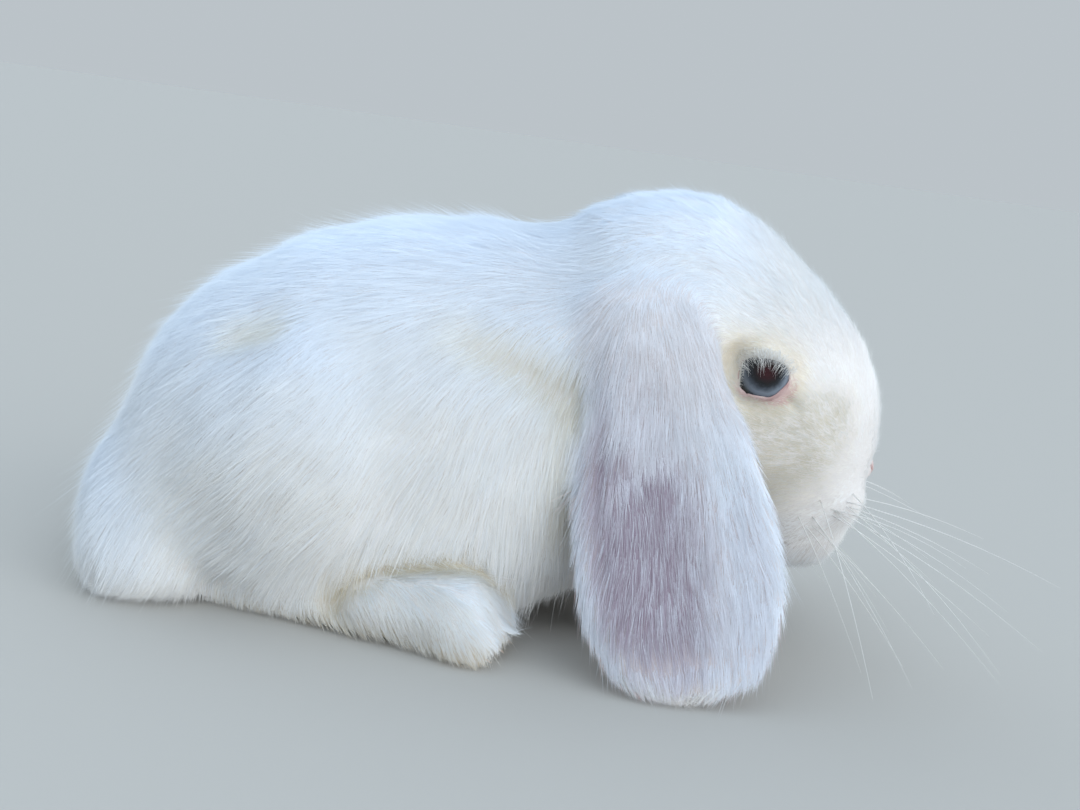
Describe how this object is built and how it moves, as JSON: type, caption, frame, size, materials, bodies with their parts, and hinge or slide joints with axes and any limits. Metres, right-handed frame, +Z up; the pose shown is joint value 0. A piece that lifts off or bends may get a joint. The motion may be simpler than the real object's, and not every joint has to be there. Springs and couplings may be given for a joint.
{
  "type": "lop rabbit",
  "caption": "Life-size still model of a crouching white lop rabbit with hanging ears, for a scene or display.",
  "frame": {"origin": "on the floor under the middle of the whole outline, whiskers included", "axes": "+X towards the head, +Y to the animal's left, +Z up"},
  "size_m": [0.2784, 0.153, 0.1293],
  "materials": {
    "white_coat": "soft white fur",
    "ear_coat": "thin white fur over pink skin",
    "foot_coat": "short fur with a cream stain",
    "blue_grey_eye": "wet gloss",
    "whisker_horn": "smooth",
    "nose_skin": "fine matte skin"
  },
  "bodies": {
    "root": {"trunk": "white_coat", "neck": "white_coat", "head": "white_coat", "muzzle": "white_coat", "nose": "nose_skin", "tail": "white_coat", "ear_left": "ear_coat", "ear_right": "ear_coat", "eye_left": "blue_grey_eye", "eye_right": "blue_grey_eye", "haunch_left": "white_coat", "haunch_right": "white_coat", "hind_foot_left": "foot_coat", "hind_foot_right": "foot_coat", "foreleg_left": "white_coat", "foreleg_right": "white_coat", "fore_paw_left": "foot_coat", "fore_paw_right": "foot_coat", "whiskers_left": "whisker_horn", "whiskers_right": "whisker_horn"}
  },
  "joints": []
}
